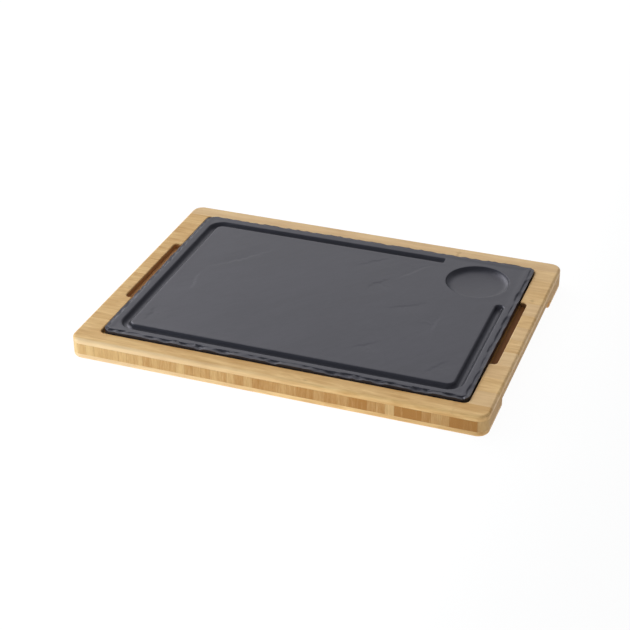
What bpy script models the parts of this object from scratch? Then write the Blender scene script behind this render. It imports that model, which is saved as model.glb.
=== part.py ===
"""Serving board: a three-ply bamboo tray with a loose slate-look stoneware plate let into it.

Metres, +Z up. The origin is under the middle of the tray, on the surface it stands on.
X runs along the tray, Y from front to back. The tray is glued up from bamboo strips and then
milled: every strip starts as a plain bar and takes the outline of the milled tray.
"""
import math

import bmesh
import bpy

# Tray, overall
TRAY_LENGTH = 0.375
TRAY_WIDTH = 0.275
TOP_PLY = 0.005
CORE_PLY = 0.010
BASE_PLY = 0.005
TRAY_CORNER = 0.010
TRAY_EDGE = 0.0035
GLUE_LINE = 0.0002

# Pocket for the plate, with a finger slot at each end
RAIL_WIDTH = 0.0163
END_WIDTH = 0.0202
POCKET_CORNER = 0.005
SLOT_LENGTH = 0.1102
SLOT_REACH = 0.0064
SLOT_CORNER = 0.004
SLOT_MOUTH = 0.002

# Hand grips milled under both ends
GRIP_LENGTH = 0.175
GRIP_DEPTH = 0.0156
GRIP_HEIGHT = 0.009
GRIP_LIP = 0.002

# Strips in each ply
END_STRIPS = 11
CORE_PACKS = 24
BASE_STRIPS_BETWEEN_GRIPS = 7
BASE_STRIPS_EACH_SIDE = 2

# Plate
PLATE_CLEARANCE = 0.00125
PLATE_SEAT = 0.0003
PLATE_THICKNESS = 0.007
PLATE_CORNER = 0.009
LAND_SETBACK = 0.0053
LEDGE_SETBACK = 0.0034
LEDGE_DROP = 0.0010
SIDE_DROP = 0.0016
CHIP_BITE = 0.0016
CHIP_PITCH = 0.011
UNDER_CHAMFER = 0.001
EDGE_POINT_PITCH = 0.0055

# Juice groove round the plate, left open at the sauce well's corner
GROOVE_INSET = 0.0145
GROOVE_WIDTH = 0.009
GROOVE_DEPTH = 0.003
GROOVE_BEND = 0.0105
GROOVE_BREAK = 0.084

# Sauce well
WELL_DIAMETER = 0.058
WELL_DEPTH = 0.0043
WELL_WALL = 0.008
WELL_INSET = 0.0444

# Margin by which cutters pass the faces they cut
OVERCUT = 0.004

TRAY_HEIGHT = BASE_PLY + CORE_PLY + TOP_PLY
POCKET_X = TRAY_LENGTH / 2 - END_WIDTH
POCKET_Y = TRAY_WIDTH / 2 - RAIL_WIDTH
POCKET_FLOOR = BASE_PLY + CORE_PLY
PLATE_X = POCKET_X - PLATE_CLEARANCE
PLATE_Y = POCKET_Y - PLATE_CLEARANCE


def clear_scene():
    for old in list(bpy.data.objects):
        bpy.data.objects.remove(old, do_unlink=True)


def make_collection(name):
    collection = bpy.data.collections.new(name)
    bpy.context.scene.collection.children.link(collection)
    return collection


def make_material(name, colour, roughness):
    material = bpy.data.materials.new(name)
    material.use_nodes = True
    shader = material.node_tree.nodes["Principled BSDF"]
    shader.inputs["Base Color"].default_value = (*colour, 1.0)
    shader.inputs["Roughness"].default_value = roughness
    shader.inputs["Metallic"].default_value = 0.0
    material.diffuse_color = (*colour, 1.0)
    return material


def make_object(name, mesh, collection, material=None, parent=None):
    obj = bpy.data.objects.new(name, mesh)
    collection.objects.link(obj)
    if material:
        mesh.materials.append(material)
    if parent:
        obj.parent = parent
    return obj


def as_cutter(obj):
    obj.hide_render = True
    obj.display_type = "WIRE"
    return obj


def make_bar(name, low, high, collection, material=None, parent=None):
    """A plain rectangular bar between two corners, with its origin at its middle."""
    size = [b - a for a, b in zip(low, high)]
    shape = bmesh.new()
    bmesh.ops.create_cube(shape, size=1.0)
    bmesh.ops.scale(shape, vec=size, verts=shape.verts)
    mesh = bpy.data.meshes.new(name)
    shape.to_mesh(mesh)
    shape.free()
    obj = make_object(name, mesh, collection, material, parent)
    obj.location = [(a + b) / 2 for a, b in zip(low, high)]
    return obj


def cut(obj, tool, operation):
    modifier = obj.modifiers.new(tool.name, "BOOLEAN")
    modifier.operation = operation
    modifier.object = tool
    modifier.solver = "EXACT"
    return modifier


def rounded_outline(corners, steps=5):
    """Round every corner of a closed outline; a corner is (x, y, radius)."""
    points = []
    count = len(corners)
    for i, (x, y, radius) in enumerate(corners):
        x0, y0, _ = corners[i - 1]
        x1, y1, _ = corners[(i + 1) % count]
        back = math.hypot(x0 - x, y0 - y)
        ahead = math.hypot(x1 - x, y1 - y)
        ux, uy = (x0 - x) / back, (y0 - y) / back
        vx, vy = (x1 - x) / ahead, (y1 - y) / ahead
        half = math.acos(max(-1.0, min(1.0, ux * vx + uy * vy))) / 2
        reach = radius / math.tan(half)
        middle = radius / math.sin(half)
        length = math.hypot(ux + vx, uy + vy)
        cx = x + (ux + vx) / length * middle
        cy = y + (uy + vy) / length * middle
        start = math.atan2(y + uy * reach - cy, x + ux * reach - cx)
        end = math.atan2(y + vy * reach - cy, x + vx * reach - cx)
        turn = (end - start + math.pi) % (2 * math.pi) - math.pi
        for k in range(steps + 1):
            angle = start + turn * k / steps
            points.append((cx + radius * math.cos(angle), cy + radius * math.sin(angle)))
    return points


def make_curve_solid(name, splines, collection, extrude=0.0, bevel=0.0, flat=True):
    """Mesh made from a curve object: a filled flat outline or a round tube with capped ends."""
    curve = bpy.data.curves.new(name, "CURVE")
    curve.dimensions = "2D" if flat else "3D"
    curve.fill_mode = "BOTH" if flat else "FULL"
    curve.extrude = extrude
    curve.bevel_depth = bevel
    curve.bevel_resolution = 4
    curve.use_fill_caps = not flat
    for points, cyclic in splines:
        spline = curve.splines.new("POLY")
        spline.points.add(len(points) - 1)
        for point, place in zip(spline.points, points):
            x, y, z = (*place, 0.0)[:3]
            point.co = (x, y, z, 1.0)
        spline.use_cyclic_u = cyclic
    drawn = bpy.data.objects.new(name + "_curve", curve)
    collection.objects.link(drawn)
    graph = bpy.context.evaluated_depsgraph_get()
    mesh = bpy.data.meshes.new_from_object(drawn.evaluated_get(graph))
    shape = bmesh.new()
    shape.from_mesh(mesh)
    bmesh.ops.remove_doubles(shape, verts=shape.verts, dist=1e-6)
    bmesh.ops.recalc_face_normals(shape, faces=shape.faces)
    shape.to_mesh(mesh)
    shape.free()
    mesh.name = name
    solid = make_object(name, mesh, collection)
    solid.matrix_world = drawn.matrix_world
    bpy.data.objects.remove(drawn, do_unlink=True)
    bpy.data.curves.remove(curve)
    return as_cutter(solid)


def make_tray_blank(tools):
    """Outer form of the finished tray: round corners in plan and softened edges all round."""
    half = (TRAY_LENGTH / 2, TRAY_WIDTH / 2)
    blank = make_bar("tray_blank", (-half[0], -half[1], 0.0), (half[0], half[1], TRAY_HEIGHT), tools)
    weights = blank.data.attributes.new("bevel_weight_edge", "FLOAT", "EDGE")
    for edge in blank.data.edges:
        a, b = (blank.data.vertices[i].co for i in edge.vertices)
        upright = abs(a.z - b.z) > TRAY_HEIGHT / 2
        weights.data[edge.index].value = 1.0 if upright else 0.0
    corners = blank.modifiers.new("corners", "BEVEL")
    corners.limit_method = "WEIGHT"
    corners.width = TRAY_CORNER
    corners.segments = 6
    edges = blank.modifiers.new("edges", "BEVEL")
    edges.limit_method = "ANGLE"
    edges.angle_limit = math.radians(60)
    edges.width = min(TRAY_EDGE, TOP_PLY * 0.9, BASE_PLY * 0.9, TRAY_CORNER * 0.8)
    edges.segments = 4
    return as_cutter(blank)


def make_pocket(tools):
    """Plate pocket with a finger slot let into each end wall, milled through the top ply."""
    reach = POCKET_X + SLOT_REACH
    side = SLOT_LENGTH / 2
    bend = min(SLOT_CORNER, SLOT_REACH * 0.6)
    mouth = min(SLOT_MOUTH, SLOT_REACH - bend - 0.0001)
    right = [
        (POCKET_X, -POCKET_Y, POCKET_CORNER),
        (POCKET_X, -side, mouth),
        (reach, -side, bend),
        (reach, side, bend),
        (POCKET_X, side, mouth),
        (POCKET_X, POCKET_Y, POCKET_CORNER),
    ]
    left = [(-x, -y, radius) for x, y, radius in right]
    outline = rounded_outline(right + left)
    depth = TOP_PLY + GLUE_LINE + OVERCUT
    pocket = make_curve_solid("plate_pocket", [(outline, True)], tools, extrude=depth / 2)
    pocket.location.z = TRAY_HEIGHT + OVERCUT - depth / 2
    return pocket


def make_grip(name, side, tools):
    """Hand grip under one end: an undercut with a round inner corner and a rounded lip."""
    outer = TRAY_LENGTH / 2
    inner = outer - GRIP_DEPTH
    corner = min(0.003, GRIP_HEIGHT * 0.4)
    lip = min(GRIP_LIP, TRAY_HEIGHT - TOP_PLY - GRIP_HEIGHT - 0.0005)
    section = [(outer + OVERCUT, -OVERCUT), (inner, -OVERCUT), (inner, GRIP_HEIGHT - corner)]
    for k in range(1, 5):
        angle = math.radians(90 * k / 4)
        section.append((inner + corner - corner * math.cos(angle), GRIP_HEIGHT - corner + corner * math.sin(angle)))
    for k in range(5):
        angle = math.radians(90 * k / 4)
        section.append((outer - lip + lip * math.sin(angle), GRIP_HEIGHT + lip - lip * math.cos(angle)))
    section.append((outer + OVERCUT, GRIP_HEIGHT + lip))
    grip = make_curve_solid(name, [([(side * x, z) for x, z in section], True)], tools, extrude=GRIP_LENGTH / 2)
    grip.rotation_euler = (math.radians(90), 0.0, 0.0)
    return grip


def make_top_ply(parts, parent, material, blank, pocket):
    """Two rails along the front and back, and short strips across each end between them."""
    low = POCKET_FLOOR + GLUE_LINE / 2
    high = TRAY_HEIGHT + OVERCUT
    end = TRAY_LENGTH / 2 + OVERCUT
    outer = TRAY_WIDTH / 2 + OVERCUT
    for name, y0, y1 in (("top_rail_front", -outer, -POCKET_Y), ("top_rail_back", POCKET_Y, outer)):
        rail = make_bar(name, (-end, y0, low), (end, y1, high), parts, material, parent)
        cut(rail, blank, "INTERSECT")
    pitch = 2 * POCKET_Y / END_STRIPS
    inner = POCKET_X - POCKET_CORNER - OVERCUT
    for side, label in ((-1, "left"), (1, "right")):
        for i in range(END_STRIPS):
            y0 = -POCKET_Y + i * pitch + (GLUE_LINE if i == 0 else GLUE_LINE / 2)
            y1 = -POCKET_Y + (i + 1) * pitch - (GLUE_LINE if i == END_STRIPS - 1 else GLUE_LINE / 2)
            x0, x1 = sorted((side * inner, side * end))
            name = f"top_{label}_{i + 1:02d}"
            strip = make_bar(name, (x0, y0, low), (x1, y1, high), parts, material, parent)
            cut(strip, blank, "INTERSECT")
            cut(strip, pocket, "DIFFERENCE")


def make_core_ply(parts, parent, materials, blank, grips):
    """Upright strips running front to back, glued in pairs; their ends show at the front."""
    pitch = TRAY_LENGTH / CORE_PACKS
    side = TRAY_WIDTH / 2 + OVERCUT
    low = BASE_PLY + GLUE_LINE / 2
    high = POCKET_FLOOR - GLUE_LINE / 2
    for i in range(CORE_PACKS):
        x0 = -TRAY_LENGTH / 2 + i * pitch + (-OVERCUT if i == 0 else GLUE_LINE / 2)
        x1 = -TRAY_LENGTH / 2 + (i + 1) * pitch + (OVERCUT if i == CORE_PACKS - 1 else -GLUE_LINE / 2)
        material = materials[(i * i + i // 3) % len(materials)]
        pack = make_bar(f"core_{i + 1:02d}", (x0, -side, low), (x1, side, high), parts, material, parent)
        cut(pack, blank, "INTERSECT")
        for edge, grip in grips.items():
            if edge * (x1 if edge > 0 else x0) > TRAY_LENGTH / 2 - GRIP_DEPTH:
                cut(pack, grip, "DIFFERENCE")


def base_strip_joints():
    """Places across the tray where base strips meet; a joint falls at each end of the hand grips."""
    grip = GRIP_LENGTH / 2
    side = TRAY_WIDTH / 2 - grip
    joints = [-grip + GRIP_LENGTH * i / BASE_STRIPS_BETWEEN_GRIPS for i in range(BASE_STRIPS_BETWEEN_GRIPS + 1)]
    for i in range(1, BASE_STRIPS_EACH_SIDE):
        step = side * i / BASE_STRIPS_EACH_SIDE
        joints = [-grip - step] + joints + [grip + step]
    return joints


def make_base_ply(parts, parent, material, blank, grips):
    """Strips along the underside, stopped short where the hand grips are."""
    joints = base_strip_joints()
    end = TRAY_LENGTH / 2 + OVERCUT
    outer = TRAY_WIDTH / 2 + OVERCUT
    high = BASE_PLY - GLUE_LINE / 2
    starts = [-outer] + [joint + GLUE_LINE / 2 for joint in joints]
    stops = [joint - GLUE_LINE / 2 for joint in joints] + [outer]
    for i, (y0, y1) in enumerate(zip(starts, stops)):
        strip = make_bar(f"base_{i + 1:02d}", (-end, y0, -OVERCUT), (end, y1, high), parts, material, parent)
        cut(strip, blank, "INTERSECT")
        if y1 > -GRIP_LENGTH / 2 and y0 < GRIP_LENGTH / 2:
            for grip in grips.values():
                cut(strip, grip, "DIFFERENCE")


def hashed(cell, seed):
    value = math.sin(cell * 12.9898 + seed * 78.233) * 43758.5453
    return value - math.floor(value)


def chip(distance, seed):
    """Bite taken out of the broken edge at a distance round the rim, 0 to 1."""
    place = distance / CHIP_PITCH
    cell = math.floor(place)
    blend = place - cell
    blend = blend * blend * (3 - 2 * blend)
    return hashed(cell, seed) * (1 - blend) + hashed(cell + 1, seed) * blend


def plate_rim():
    """Points round the plate's outline with their outward directions and run lengths."""
    corner = min(PLATE_CORNER, PLATE_X * 0.5, PLATE_Y * 0.5)
    x, y = PLATE_X - corner, PLATE_Y - corner
    arcs = ((x, -y, -90), (x, y, 0), (-x, y, 90), (-x, -y, 180))
    rim = []
    run = 0.0
    for i, (cx, cy, start) in enumerate(arcs):
        for k in range(7):
            angle = math.radians(start + 15 * k)
            out = (math.cos(angle), math.sin(angle))
            rim.append((cx + corner * out[0], cy + corner * out[1], out, run + corner * math.radians(15 * k)))
        run += corner * math.radians(90)
        nx, ny, _ = arcs[(i + 1) % 4]
        length = math.hypot(nx - cx, ny - cy)
        count = max(2, round(length / EDGE_POINT_PITCH))
        px, py, out, _ = rim[-1]
        for k in range(1, count):
            share = k / count
            rim.append((px + (nx - cx) * share, py + (ny - cy) * share, out, run + length * share))
        run += length
    return rim


def make_plate_slab(parts, parent, material):
    """Slab with a broken, stepped rim as split slate has, lofted through rings up its edge."""
    top = PLATE_THICKNESS
    rim = plate_rim()
    under = min(UNDER_CHAMFER, (top - SIDE_DROP) * 0.4)
    rings = []
    for x, y, out, run in rim:
        ledge = CHIP_BITE * (chip(run, 1) - 0.5)
        land = CHIP_BITE * (chip(run, 2) - 0.5)
        lower = 0.35 * SIDE_DROP * (chip(run, 3) - 0.5)
        side = 0.25 * CHIP_BITE * chip(run, 4)
        section = (
            (under, 0.0),
            (0.0, under),
            (side, top - SIDE_DROP + lower),
            (LEDGE_SETBACK + ledge, top - LEDGE_DROP + lower * 0.5),
            (LAND_SETBACK + max(land, ledge - (LAND_SETBACK - LEDGE_SETBACK) * 0.6), top),
        )
        rings.append([(x - out[0] * inset, y - out[1] * inset, z) for inset, z in section])
    shape = bmesh.new()
    grid = [[shape.verts.new(point) for point in ring] for ring in rings]
    count = len(grid)
    for i in range(count):
        ahead = grid[(i + 1) % count]
        for k in range(len(grid[i]) - 1):
            shape.faces.new((grid[i][k], ahead[k], ahead[k + 1], grid[i][k + 1]))
    shape.faces.new([ring[-1] for ring in grid])
    shape.faces.new([ring[0] for ring in reversed(grid)])
    mesh = bpy.data.meshes.new("plate")
    shape.to_mesh(mesh)
    shape.free()
    plate = make_object("plate", mesh, parts, material, parent)
    return plate


def make_groove(tools):
    """Round-bottomed groove: a tube along the plate's border, stopped short of one corner."""
    half = GROOVE_WIDTH / 2
    depth = min(GROOVE_DEPTH, half)
    radius = (half * half + depth * depth) / (2 * depth)
    x, y = PLATE_X - GROOVE_INSET, PLATE_Y - GROOVE_INSET
    bend = max(GROOVE_BEND, half * 1.05)
    corners = [(-x, y, bend), (-x, -y, bend), (x, -y, bend)]
    around = rounded_outline([(x, y, bend)] + corners, steps=8)[9:]
    path = [(PLATE_X - GROOVE_BREAK, y)] + around + [(x, PLATE_Y - GROOVE_BREAK)]
    height = PLATE_THICKNESS + radius - depth
    tube = [(px, py, height) for px, py in path]
    return make_curve_solid("groove_tool", [(tube, False)], tools, bevel=radius, flat=False), radius, height


def make_groove_end(tools, radius, height):
    """Ball that rounds off the groove's end beside the sauce well."""
    shape = bmesh.new()
    bmesh.ops.create_uvsphere(shape, u_segments=20, v_segments=12, radius=radius * 0.985)
    mesh = bpy.data.meshes.new("groove_end")
    shape.to_mesh(mesh)
    shape.free()
    ball = make_object("groove_end", mesh, tools)
    ball.location = (PLATE_X - GROOVE_INSET, PLATE_Y - GROOVE_BREAK, height)
    return as_cutter(ball)


def make_well(tools):
    """Turned dish: a flat floor and a wall that curves up to the rim."""
    rim = WELL_DIAMETER / 2
    wall = min(WELL_WALL, rim * 0.8)
    depth = min(WELL_DEPTH, PLATE_THICKNESS * 0.8)
    profile = [(0.0, OVERCUT), (rim, OVERCUT)]
    for k in range(8):
        angle = math.radians(90 * k / 7)
        profile.append((rim - wall + wall * math.cos(angle), -depth * math.sin(angle)))
    profile.append((0.0, -depth))
    mesh = bpy.data.meshes.new("well_tool")
    mesh.from_pydata([(x, 0.0, z) for x, z in profile], [(i, i + 1) for i in range(len(profile) - 1)], [])
    well = make_object("well_tool", mesh, tools)
    turn = well.modifiers.new("turn", "SCREW")
    turn.axis = "Z"
    turn.steps = 48
    turn.render_steps = 48
    turn.use_merge_vertices = True
    turn.merge_threshold = 0.00001
    well.location = (PLATE_X - WELL_INSET, PLATE_Y - WELL_INSET, PLATE_THICKNESS)
    return as_cutter(well)


def main():
    clear_scene()
    parts = make_collection("serving_board")
    tools = make_collection("cutters")
    light = make_material("bamboo_light", (0.62, 0.43, 0.21), 0.55)
    core = [
        make_material("bamboo_core_pale", (0.56, 0.37, 0.18), 0.6),
        make_material("bamboo_core_mid", (0.47, 0.28, 0.12), 0.6),
        make_material("bamboo_core_dark", (0.38, 0.21, 0.09), 0.6),
    ]
    stoneware = make_material("stoneware_charcoal", (0.11, 0.11, 0.12), 0.7)

    tray = bpy.data.objects.new("tray", None)
    parts.objects.link(tray)
    seat = bpy.data.objects.new("plate_seat", None)
    seat.location.z = POCKET_FLOOR + PLATE_SEAT
    parts.objects.link(seat)

    blank = make_tray_blank(tools)
    pocket = make_pocket(tools)
    grips = {-1: make_grip("grip_left", -1, tools), 1: make_grip("grip_right", 1, tools)}
    make_top_ply(parts, tray, light, blank, pocket)
    make_core_ply(parts, tray, core, blank, grips)
    make_base_ply(parts, tray, light, blank, grips)

    plate = make_plate_slab(parts, seat, stoneware)
    groove, radius, height = make_groove(tools)
    ball = make_groove_end(tools, radius, height)
    well = make_well(tools)
    for tool in (groove, ball, well):
        tool.parent = seat
        cut(plate, tool, "DIFFERENCE")
    bpy.context.view_layer.update()


main()
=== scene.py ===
"""Bamboo serving board with a loose stoneware plate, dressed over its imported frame.

Metres, +Z up. X runs along the board and Y from its front to its back. The tray is milled as one
solid and its strips are cut out of it, so edges run on from strip to strip as on a sanded board.
"""
import math

import bmesh
import bpy
from bpy.props import FloatProperty, FloatVectorProperty, IntProperty, PointerProperty
from bpy.types import Operator, Panel, PropertyGroup
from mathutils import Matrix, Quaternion, Vector, geometry, kdtree, noise


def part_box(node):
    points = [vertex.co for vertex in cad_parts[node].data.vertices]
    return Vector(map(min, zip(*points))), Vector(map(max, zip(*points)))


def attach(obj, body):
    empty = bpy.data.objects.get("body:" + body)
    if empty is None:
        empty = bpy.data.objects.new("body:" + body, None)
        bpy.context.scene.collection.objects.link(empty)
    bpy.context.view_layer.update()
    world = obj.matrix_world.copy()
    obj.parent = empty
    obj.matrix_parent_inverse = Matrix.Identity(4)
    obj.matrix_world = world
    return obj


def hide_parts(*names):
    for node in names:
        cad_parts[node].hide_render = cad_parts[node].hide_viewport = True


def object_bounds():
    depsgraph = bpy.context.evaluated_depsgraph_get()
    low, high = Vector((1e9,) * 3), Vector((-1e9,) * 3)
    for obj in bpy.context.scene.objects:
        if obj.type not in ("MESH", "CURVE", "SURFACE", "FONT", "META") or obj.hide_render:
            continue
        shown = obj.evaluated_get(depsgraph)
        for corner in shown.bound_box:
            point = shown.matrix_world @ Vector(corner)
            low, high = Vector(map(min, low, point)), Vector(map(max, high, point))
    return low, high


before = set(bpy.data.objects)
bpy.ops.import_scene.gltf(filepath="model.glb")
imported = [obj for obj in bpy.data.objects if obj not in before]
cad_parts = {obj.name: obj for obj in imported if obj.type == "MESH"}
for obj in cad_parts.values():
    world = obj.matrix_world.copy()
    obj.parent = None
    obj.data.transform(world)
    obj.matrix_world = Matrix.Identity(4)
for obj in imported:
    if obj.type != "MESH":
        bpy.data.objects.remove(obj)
CAD_LOW, CAD_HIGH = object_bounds()
RAIL_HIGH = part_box("top_rail_front")[1]
PLATE_LOW, PLATE_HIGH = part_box("plate")
END_STRIPS = 11
CORE_PAIRS = 24
BASE_STRIPS = 11
NODE_SPACING = 0.1275
TOUCH, WELD = 1e-5, 2e-6
OVERCUT = 0.004
FLOOR_LEVEL = -0.0002
SPLIT_ANGLE = math.radians(-50)
WALL_WAY = (-0.468, 0.749, 0.469)
GROOVE_WALL = math.radians(66)
GROOVE_PITCH, LINE_PITCH = 0.006, 0.001
GROOVE_LIP_STEPS, GROOVE_BED_STEPS, GROOVE_CAP_STEPS = 7, 8, 5
GROOVE_BEND_STEPS, GROOVE_ROUND_STEPS = 14, 18
WELL_START = math.radians(13)
WELL_POINTS = 112
WELL_LIP_STEPS, WELL_WALL_STEPS, WELL_DISH_STEPS = 4, 11, 5
# Where the run along the plate's edge starts on each side but the front
RIGHT_RUN, BACK_RUN, LEFT_RUN = 0.6, 1.2, 1.8
# How much less the rim is broken there than in front, and how much longer its chips are on the right
CALM_BACK, CALM_RIGHT, CALM_LEFT, RIGHT_CHIPS = 0.65, 0.3, 0.4, 2.2
# How steeply a corner takes on the wear of its sides, and the share of the rim that is its outer part
CORNER_WEAR, RIM_OUTER = 1.4, 0.8
# Wander of the chips, swell of the face and tearing of its clefts: size and waves per metre
CHIP_WANDER, CHIP_WAVES = 0.011, 24.0
SWELL, SWELL_WAVES = 0.00005, 13.0
TEAR, TEAR_WAVES = 0.0022, 170.0
# Face in from the outline, its distance from rim, groove and well, and where its relief is full
FIELD_INSET, FIELD_MARGIN, FIELD_CALM = 0.006, 0.0011, 0.007
FIELD_TRIMS = 6
# Waves of the chips' edge: size, waves per metre and seed
EDGE_WAVES = ((0.0007, 330.0, 9.0), (0.0004, 800.0, 4.0))
# Waves of the ledge: size, waves per metre along the rim and across it, and seed
LEDGE_WAVES = ((0.00050, 360.0, 420.0, 1.0), (0.00018, 800.0, 1000.0, 7.0))
# Lines in the plate's face along which a layer of it is torn off
CLEFTS = (
    ((-0.127, 0.015), (-0.100, 0.041), (-0.076, 0.074)),
    ((0.028, 0.024), (0.035, 0.043), (0.046, 0.058)),
    ((0.052, 0.001), (0.074, 0.010), (0.092, 0.023)),
    ((0.110, -0.034), (0.106, -0.011), (0.109, 0.006)),
    ((0.049, -0.073), (0.060, -0.066), (0.070, -0.054)),
    ((0.003, 0.066), (0.020, 0.081), (0.034, 0.095)),
    ((0.048, 0.052), (0.064, 0.079), (0.073, 0.092)),
    ((0.118, -0.094), (0.128, -0.077), (0.136, -0.065)),
    ((-0.137, -0.092), (-0.137, -0.077), (-0.139, -0.062)),
    ((-0.121, -0.029), (-0.124, -0.010), (-0.127, 0.009)),
)

bl_info = {
    "name": "Bamboo Serving Board",
    "version": (1, 0, 0),
    "blender": (4, 5, 0),
    "location": "View3D > Sidebar > Board",
    "description": "Models a bamboo serving board strip by strip, its stoneware plate and a studio",
    "category": "Object",
}


def setting(kind, description, default, **limits):
    return kind(description=description, default=default, **limits)


def metres(*words):
    return setting(FloatProperty, *words, min=0.0, precision=5, unit="LENGTH", subtype="DISTANCE")


def colour(*words):
    return setting(FloatVectorProperty, *words, size=3, min=0.0, max=1.0, subtype="COLOR")


def spot(*words):
    return setting(FloatVectorProperty, *words, size=3, unit="LENGTH", subtype="XYZ")


def strength(*words):
    return setting(FloatProperty, *words, min=0.0, max=2.0)


def watts(*words):
    return setting(FloatProperty, *words, min=0.0, subtype="POWER")


class TraySizes(PropertyGroup):
    """Sizes of the bamboo tray."""

    length: metres("Tray from end to end", CAD_HIGH.x - CAD_LOW.x)
    width: metres("Tray from front to back", CAD_HIGH.y - CAD_LOW.y)
    height: metres("Tray from the table to its top", RAIL_HIGH.z)
    corner: metres("Radius of the tray's corners", 0.010)
    edge: metres("Radius of the outer edges", 0.0025)
    rail_width: metres("Width of the rim in front and at the back", 0.0163)
    end_width: metres("Width of the rim at each end", 0.0202)
    pocket_depth: metres("Depth of the plate's pocket", 0.005)
    pocket_corner: metres("Radius of the pocket's corners", 0.005)
    pocket_fit: metres("Left wall inwards; the right and the front half as far", 0.0009)
    pocket_fit_back: metres("Back wall inwards", 0.0021)
    pocket_ease: metres("Radius round the top of pocket and slots", 0.0012)
    slot_length: metres("Finger slot along the end", 0.1102)
    slot_reach: metres("Finger slot beyond the pocket's wall", 0.0064)
    slot_corner: metres("Radius of the slot's outer corners", 0.004)
    slot_mouth: metres("Radius where the slot meets the pocket", 0.002)
    grip_length: metres("Hand grip under each end", 0.175)
    grip_depth: metres("Hand grip in from the end", 0.0156)
    grip_height: metres("Hand grip up from the table", 0.009)
    grip_corner: metres("Radius inside the hand grip", 0.003)
    grip_lip: metres("Radius of the edge above the fingers", 0.002)
    pair_gap: metres("Glue line inside a core pair", 0.00006)
    joint_close: metres("How far each strip closes on its glue line", 0.00007)


class PlateSizes(PropertyGroup):
    """Sizes of the stoneware plate."""

    corner: metres("Radius of the plate's corners", 0.0076)
    rim_pitch: metres("Between the points of the rim", 0.0009)
    rim_step: metres("Between the rings of the rim", 0.00042)
    rim_rings: setting(IntProperty, "Rings of the rim", 14, min=4, max=40)
    ledge_setback: metres("Where the rim's lower ledge ends", 0.0037)
    ledge_drop: metres("Ledge under the face", 0.0016)
    chip_length: metres("Length of a chip along the rim", 0.0105)
    chip_bite: metres("Chip into the face", 0.0016)
    nick: metres("Depth of the nicks in the outline", 0.0002)
    nick_length: metres("Length of a nick", 0.006)
    side_drop: metres("Plain side under the face", 0.0030)
    under_chamfer: metres("Chamfer round the underside", 0.001)
    draw_corner: metres("Wear of the two corners on the left", 0.0013)
    draw_left: metres("Wear of the rim on the left", 0.0010)
    draw_back: metres("Wear of the rim at the back's left end", 0.0024)
    land_fall: metres("Fall of the land from rim to groove", 0.00030)
    groove_inset: metres("Centre line in from the left and the front", 0.0145)
    groove_inset_right: metres("Centre line in from the right", 0.0135)
    groove_inset_back: metres("Centre line in from the back", 0.0155)
    groove_half: metres("Half the groove over its lips", 0.0053)
    groove_lip: metres("Radius of the groove's edges", 0.0021)
    groove_depth: metres("Depth of the groove", 0.0039)
    groove_cap: metres("Length of the wall at the groove's blunt end", 0.0016)
    groove_bend: metres("Radius of the centre line in the corners", 0.0105)
    groove_break: metres("Groove's ends in from the outline", 0.084)
    well_radius: metres("Radius of the well at its lip", 0.0297)
    well_wall: metres("Width of the well's curved wall", 0.008)
    well_depth: metres("Depth at the foot of the wall", 0.0040)
    well_dish: metres("Added depth in the well's middle", 0.0005)
    well_lip: metres("Radius of the well's edge", 0.0006)
    well_inset: metres("Well's centre in from the outline", 0.0444)
    face_pitch: metres("Between the points of the face", 0.00125)
    cleft_step: metres("Height of a torn layer", 0.00022)
    cleft_reach: metres("Torn layer out from its edge", 0.016)


class BoardFinishes(PropertyGroup):
    """Colours of the bamboo and the stoneware."""

    face_pale: colour("Pale fibres of top and base", (0.91, 0.615, 0.280))
    face_deep: colour("Deep fibres of top and base", (0.60, 0.320, 0.102))
    node_brown: colour("Marks of the bamboo's nodes", (0.34, 0.160, 0.045))
    core_pale: colour("Pale core strips", (0.71, 0.465, 0.208))
    core_deep: colour("Deep core strips", (0.43, 0.200, 0.055))
    # Painted sheen, partly the paler bamboo of some strips
    face_pale_and_sheen: colour("Paler top and base strips", (0.80, 0.570, 0.335))
    # Painted light and shade in the finger slots, not the wood's own colour
    slot_lit_orange: colour("Wood in the left finger slot", (0.62, 0.285, 0.105))
    slot_shadow_brown: colour("Wood in the right finger slot", (0.20, 0.070, 0.021))
    clay_dark: colour("Dark parts of the stoneware", (0.0140, 0.0136, 0.0165))
    clay_light: colour("Light parts of the stoneware", (0.0220, 0.0215, 0.0260))
    clay_sheen: colour("Colour of its reflections", (0.865, 0.845, 1.0))


class StudioSetup(PropertyGroup):
    """Floor, light and camera."""

    camera_place: spot("Where the camera stands", (0.42117, -1.16377, 0.72403))
    camera_target: spot("What the camera looks at", (-0.01103, 0.00294, 0.0))
    camera_roll: setting(
        FloatProperty, "Turn about the line of sight", math.radians(-0.2751),
        unit="ROTATION", subtype="ANGLE"
    )
    camera_lens: setting(FloatProperty, "Focal length in mm", 89.906, min=1.0)
    zenith: strength("Soft light from overhead", 0.21)
    horizon: strength("Soft light from all sides", 0.50)
    backdrop: strength("Light from the wall behind", 0.9)
    wall_colour: colour("Colour of the soft light", (0.90, 0.94, 1.0))
    key_power: watts("Softbox on the left", 120.0)
    top_power: watts("Soft lamp overhead", 22.5)
    fill_power: watts("Strip in front on the left", 3.3)
    fill_colour: colour("Colour of the strip in front", (0.64, 0.85, 1.0))
    side_power: watts("Reflector on the right", 0.4)
    side_colour: colour("Colour of the reflector", (1.0, 0.76, 0.48))
    floor_size: metres("Side of the floor", 8.0)
    floor_colour: colour("Colour of the floor", (0.80, 0.80, 0.80))
    floor_glow: strength("Light of the table's own", 0.84)
    floor_white: strength("Share of plain white in the floor as seen", 0.92)


# Handling


def clear_selection():
    if bpy.context.object and bpy.context.object.mode != "OBJECT":
        bpy.ops.object.mode_set(mode="OBJECT")
    bpy.ops.object.select_all(action="DESELECT")


def only(piece):
    """Select one piece alone and make it the active one."""
    clear_selection()
    piece.select_set(True)
    bpy.context.view_layer.objects.active = piece


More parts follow.
